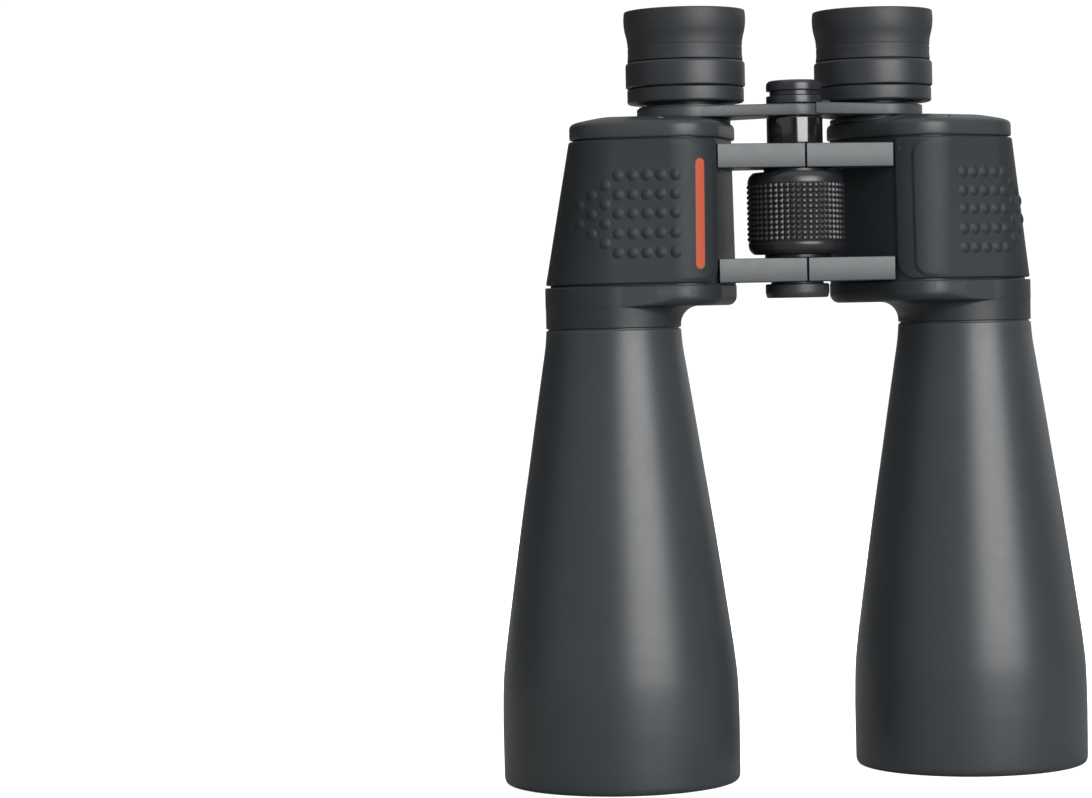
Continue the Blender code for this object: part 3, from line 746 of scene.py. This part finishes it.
def eyecup_profile():
    """The soft cup: a waist over its seam, a flared lip and a stepped inside."""
    outside = curve_through([(21.15, 262.0), (20.95, 264.0), (21.0, 266.3)], 0.6)
    outside += [(20.86, 266.55), (20.86, 266.8)]
    outside += curve_through([
        (21.0, 267.1), (21.1, 268.6), (21.45, 270.6), (21.95, 272.6), (22.25, 274.6), (22.38, 276.8),
        (22.3, 278.4),
    ], 0.5)
    lip = rounded([(22.25, 279.0), (22.1, 280.0, 1.0), (20.9, 279.9, 0.7), (20.6, 278.4)])
    inside = [(20.3, 277.0), (20.1, 275.4), (19.7, 274.8), (19.6, 273.0), (19.2, 271.0), (18.95, 268.0)]
    return [(20.9, 261.5), (21.1, 261.65)] + outside + lip + inside + [(18.9, 261.5)]


def eyepiece(side, prefix):
    """The bush in the rear cover, the sliding tube, the turning ring, the head, its cup and its lenses."""
    half = f"{prefix}_half"
    ocular = "right_ocular" if side > 0 else "bridge"
    place = (*EYEPIECE, 0)

    def put(name, profile, look, node, body):
        return piece(f"{prefix}_{name}", turned(rounded(profile), FINE), body, look, [node], side, place)

    bush = [(14.9, 232.6), (14.9, 238.3), (16.3, 238.3, 0.2), (16.3, 239.9, 0.3), (14.5, 239.9)]
    bush += [(14.5, 232.6)]
    put("guide_bush", bush, "housing", f"{prefix}_eyepiece_guide", half)
    tube = [(14.2, 222.0), (14.2, 257.0), (12.6, 257.0), (12.6, 242.3), (10.4, 242.0), (10.4, 241.0)]
    tube += [(12.6, 240.7), (12.6, 222.0)]
    put("sliding_tube", tube, "aluminium", f"{prefix}_eyepiece_tube", ocular)
    ring = [(20.7, 246.1, 0.3), (21.4, 246.6, 0.4), (21.4, 251.2, 0.3), (21.1, 251.6, 0.2), (14.5, 251.6)]
    ring += [(14.5, 246.1)]
    ring_node = "right_diopter_ring" if side > 0 else "left_eyepiece_collar"
    put("lower_ring", ring, "plastic", ring_node, "diopter_ring" if side > 0 else ocular)
    head = [(21.5, 251.9, 0.2), (21.9, 252.3, 0.3), (21.9, 260.5, 0.5), (21.3, 261.2, 0.3), (18.6, 261.2)]
    head += [(18.6, 269.6, 0.4), (17.9, 270.3, 0.3), (11.6, 270.3, 0.3), (11.2, 268.4), (13.1, 266.8)]
    head += [(13.1, 258.6), (14.5, 258.0), (14.5, 251.9)]
    put("ocular_head", head, "plastic", f"{prefix}_eyepiece_head", ocular)
    name, node = f"{prefix}_folding_eyecup", f"{prefix}_eyecup"
    cup = piece(name, turned(eyecup_profile(), FINE), ocular, "eyecup", [node], side, place, 40)
    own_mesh(cup)
    ocular_lenses(side, prefix, ocular)


def ocular_lenses(side, prefix, ocular):
    """The field lens and the eye lens, with finer curves than their solids."""
    for name, node, radius, low, high, sag_low, sag_high in (
        ("lower_lens", "field_lens", 12.3, 228.0, 231.0, -1.2, 1.8),
        ("upper_lens", "eye_lens", 12.8, 260.0, 263.2, -0.6, 2.6),
    ):
        profile = lens_profile(radius, (low, sag_low), (high, sag_high), 12)
        node = f"{prefix}_{node}"
        piece(f"{prefix}_{name}", turned(profile, 64), ocular, "glass", [node], side, (*EYEPIECE, 0))


def arc(centre, radius, start, end, count):
    """Points along an arc, between two angles in degrees."""
    points = []
    for k in range(count + 1):
        angle = radians(start + (end - start) * k / count)
        points.append((centre[0] + radius * cos(angle), centre[1] + radius * sin(angle)))
    return points


def bridge_arm(side, prefix):
    """One arm of the bridge: its ring and the bar to the hinge. The right one adds the upper hub."""
    body = "bridge" if side < 0 else "right_bridge"
    low, high = (height + (ARM_STEP if side > 0 else 0.0) for height in ARM_Z)
    outline = arc(EYEPIECE, 18.0, -94, 127, 48)
    if side < 0:
        outline += [(4.6, 9.4)] + arc((0, 0), 10.2, 68, 285, 40)
    else:
        outline += [(4.2, 9.3), (0.3, 0.0), (2.64, -9.85)]
    boss = turned(disc(17.2, low + 1.5, BOSS_TOP, 0.2), ROUND, EYEPIECE)
    holes = turned(disc(14.5, low - 1, HUB_Z[1] + 1), ROUND, EYEPIECE)
    turned(disc(4.8, low - 1, HUB_Z[1] + 1), 48, bm=holes)
    changes = [("UNION", boss)]
    if side > 0:
        changes.append(("DIFFERENCE", turned(disc(10.6, low - 1, high + 1), ROUND)))
        web = rounded([(9.0, -1.5), (14.0, 0.5, 0.5), (14.0, 8.2, 0.5), (5.0, 8.6)])
        changes.append(("UNION", slab(web, HUB_Z[0] + 0.05, HUB_Z[0] + 1.3, 0.2)))
        hub = rounded([(4.8, HUB_Z[0]), (10.2, HUB_Z[0], 0.25), (10.2, HUB_Z[1], 0.25), (4.8, HUB_Z[1])])
        piece("right_bridge_hub", turned(hub, ROUND), body, "satin", (), side)
    made = combined(slab(outline, low, high, 0.45), *changes, ("DIFFERENCE", holes))
    piece(f"{prefix}_bridge_bar", made, body, "arm", [f"bridge_{prefix}_arm"], side, sharp=35)


def focus_wheel():
    """The wheel, with rows of moulded studs round its band."""
    low, high = WHEEL_Z
    columns, rows_of_studs, samples = 50, 11, 6
    band_low, pitch = 194.75, 1.9
    segments = columns * samples
    turns = [2 * pi * k / segments for k in range(segments)]
    below = rounded([(9.0, low), (15.6, low, 0.3), (17.1, low + 1.4, 0.9), (17.55, low + 3.2, 0.3),
                     (17.55, low + 4.1, 0.2), (17.25, low + 4.4)])
    above = [(r, low + high - z) for r, z in below[::-1]]

    def ring(radius, z):
        return [(radius * cos(angle), radius * sin(angle), z) for angle in turns]

    rows = [ring(*point) for point in below]
    for i in range(rows_of_studs * samples + 1):
        z = band_low + pitch * i / samples
        across = abs((i / samples) % 1.0 - 0.5) * 2
        row = []
        for k, angle in enumerate(turns):
            around = abs((k / samples) % 1.0 - 0.5) * 2
            height = min(1.0, max(0.0, (0.95 - max(around, across)) / 0.5))
            radius = 17.3 + 0.6 * height
            row.append((radius * cos(angle), radius * sin(angle), z))
        rows.append(row)
    rows += [ring(*point) for point in above]
    made = skin(rows, closed_rows=True)
    piece("knurled_focus_wheel", made, "focus_wheel", "wheel", ["focus_wheel"], sharp=35)


def ridges(upper, lower, top, count):
    """Rings a millimetre apart that stand for a thread, from the top down, between two radii."""
    points = []
    for k in range(count):
        points += [(upper, top - k - 0.25), (lower, top - k - 0.75)]
    return points


def centre():
    """Everything on the hinge's axis, from the tripod cap to the cap over the bridge's hub."""
    def put(name, profile, look, node, body, segments=ROUND):
        piece(name, turned(rounded(profile), segments), body, look, [node])

    left = "left_half"
    sleeve = [(8.0, 221.2), (8.0, 230.2), (10.2, 230.2, 0.3), (10.2, 239.5, 0.5), (9.7, 239.9, 0.2)]
    put("gloss_hinge_sleeve", sleeve + [(6.0, 239.9), (6.0, 221.2)], "gloss", "hinge_sleeve", left)
    pin = [(0, 188.0), (3.3, 188.0), (3.3, 179.7), (5.8, 179.7, 0.3), (5.8, 189.5, 0.4), (0, 189.5)]
    put("lower_hinge_pin", pin, "steel", "hinge_pin", left, 64)
    for word, low, high in (("lower", 188.7, 190.0), ("upper", 219.9, 221.1)):
        washer = [(11.6, low, 0.2), (11.6, high, 0.2), (6.3, high), (6.3, low)]
        put(f"{word}_thrust_disc", washer, "washer", f"{word}_thrust_washer", left)
    focus_wheel()
    nut = [(8.7, 190.6), (8.7, 219.3), (6.3, 219.3)] + ridges(6.0, 6.3, 219.0, 28) + [(6.0, 190.6)]
    put("threaded_focus_nut", nut, "brass", "focus_nut", "focus_wheel", 64)
    screw = [(0, 192.0), (5.0, 192.0, 0.3)] + ridges(5.7, 5.35, 220.35, 28)[::-1]
    screw += [(5.7, 221.0), (5.7, 239.9, 0.2), (4.5, 239.9), (4.5, 247.5), (0, 247.5)]
    put("focus_screw", screw, "steel", "focus_spindle", "bridge", 64)
    cap = [(0, 247.8), (8.9, 247.8), (8.9, 249.2), (10.2, 249.4, 0.3), (10.2, 252.1, 0.7), (9.2, 253.1, 0.5)]
    cap += [(6.5, 253.2, 0.5), (6.2, 252.8), (0, 252.8)]
    put("hub_cap", cap, "satin", "bridge_cap", "bridge")
    stud = [(0, 175.8), (3.0, 175.8), (3.0, 186.6), (2.5, 187.1), (0, 187.1)]
    put("brass_tripod_stud", stud, "brass", "tripod_stud", "tripod_stud", 48)
    knob = [(0, 174.5), (8.6, 174.5), (9.0, 174.2, 0.2), (11.1, 174.2, 0.5), (11.6, 176.0, 0.4)]
    knob += [(11.6, 178.9, 0.3), (11.2, 179.3, 0.2), (9.6, 179.35), (9.6, 179.9), (3.3, 179.9), (3.3, 175.5)]
    put("tripod_socket_cap", knob + [(0, 175.5)], "plastic", "tripod_cap", "tripod_cap")


def hidden_nodes():
    """Gives the carried-over CAD nodes the look of their slot."""
    look_of = {slot: look for look, slot in reversed(SLOTS.items())}
    for entry in frame["record"]["subparts"]:
        obj = frame["nodes"][entry["node"]]
        if not obj.hide_render:
            obj.data.materials.clear()
            obj.data.materials.append(LOOKS[look_of[entry["material_slot"]]])


# ---------------------------------------------------------------- floor, lights and camera

def floor():
    """A pale floor, wide enough to fill every view."""
    bm = bmesh.new()
    bmesh.ops.create_grid(bm, x_segments=1, y_segments=1, size=FLOOR_HALF_WIDTH)
    mesh = bpy.data.meshes.new("studio_floor")
    bm.to_mesh(mesh)
    bm.free()
    nodes = Surface("studio_floor")
    seen = nodes.add("ShaderNodeLightPath").outputs["Is Camera Ray"]
    grey = nodes.mix(seen, (0.25, 0.25, 0.25, 1.0), (0.95, 0.95, 0.95, 1.0))
    nodes.feed(nodes.shader.inputs["Base Color"], grey)
    nodes.shader.inputs["Emission Color"].default_value = WHITE
    nodes.feed(nodes.shader.inputs["Emission Strength"], nodes.math("MULTIPLY", seen, 0.55))
    nodes.shader.inputs["Roughness"].default_value = 0.9
    nodes.shader.inputs["Specular IOR Level"].default_value = 0.0
    mesh.materials.append(nodes.material)
    plane = bpy.data.objects.new("studio_floor", mesh)
    bpy.context.scene.collection.objects.link(plane)


def soft_light(name, place, target, size, power, glossy=True):
    """A wide light that faces its target. Without glossy, it doesn't show in reflections."""
    data = bpy.data.lights.new(name, "AREA")
    data.shape = "RECTANGLE"
    data.size, data.size_y = size
    data.energy = power
    light = bpy.data.objects.new(name, data)
    light.location = place
    light.rotation_euler = (Vector(target) - Vector(place)).to_track_quat("-Z", "Y").to_euler()
    light.visible_glossy = glossy
    bpy.context.scene.collection.objects.link(light)


def lights():
    """A white room, brightest overhead and dimmer at its sides, with soft lights in front and behind."""
    world = bpy.data.worlds.new("studio")
    bpy.context.scene.world = world
    world.use_nodes = True
    nodes = Nodes(world.node_tree)
    towards = nodes.add("ShaderNodeTexCoord").outputs["Generated"]
    x, y, z = nodes.add("ShaderNodeSeparateXYZ", {"Vector": towards}).outputs
    right = nodes.ramp(nodes.math("ADD", x, y), 0.8, 1.35, 0.03, 0.7, "SMOOTHSTEP")
    left = nodes.ramp(nodes.math("ADD", nodes.math("ADD", x, x), y), -1.55, -2.1, 0.0, 0.5, "SMOOTHSTEP")
    overhead = nodes.ramp(z, 0.4, 0.95, 0.0, 0.9, "SMOOTHSTEP")
    strength = nodes.math("ADD", nodes.math("ADD", right, left), overhead)
    room = nodes.tree.nodes["Background"]
    nodes.feed(room.inputs["Strength"], strength)
    room.inputs["Color"].default_value = WHITE
    backdrop = nodes.add("ShaderNodeBackground", {"Color": WHITE, "Strength": 1.05})
    seen = nodes.add("ShaderNodeLightPath").outputs["Is Camera Ray"]
    blend = nodes.add("ShaderNodeMixShader", {"Fac": seen, 1: room.outputs[0], 2: backdrop.outputs[0]})
    nodes.feed(nodes.tree.nodes["World Output"].inputs["Surface"], blend.outputs[0])
    soft_light("key", (0.303, -1.057, 0.50), (0.0, 0.0, 0.2), (0.9, 0.82), 19.0)
    soft_light("back", (-0.35, 1.25, 0.75), (0.0, 0.0, 0.17), (0.8, 0.8), 22.0, glossy=False)
    bpy.context.scene.view_settings.view_transform = "Standard"


def camera():
    """The camera at the photograph's place, heading, tilt and roll."""
    place = (-0.3476, -1.128, 0.1709)
    heading, pitch, roll = radians(12.72), radians(-1.56), radians(1.18)
    forward = Vector((sin(heading) * cos(pitch), cos(heading) * cos(pitch), sin(pitch)))
    right = Vector((cos(heading), -sin(heading), 0.0))
    up = right.cross(forward)
    across = right * cos(roll) - up * sin(roll)
    upward = right * sin(roll) + up * cos(roll)
    data = bpy.data.cameras.new("camera")
    data.sensor_width = 36.0
    data.lens = 105.5
    data.clip_start, data.clip_end = 0.05, 50.0
    made = bpy.data.objects.new("camera", data)
    turn = Matrix((across, upward, -forward)).transposed().to_4x4()
    made.matrix_world = Matrix.Translation(place) @ turn
    bpy.context.scene.collection.objects.link(made)
    bpy.context.scene.camera = made


def make():
    """Everything: the two halves, what stands between them, and the studio."""
    make_looks()
    for prefix, side in SIDES.items():
        body = f"{prefix}_half"
        for build in (objective, front_cover, prism_housing, armour, rear_cover):
            build(side, prefix, body)
        eyepiece(side, prefix)
        bridge_arm(side, prefix)
    centre()
    hidden_nodes()
    floor()
    lights()
    camera()


make()
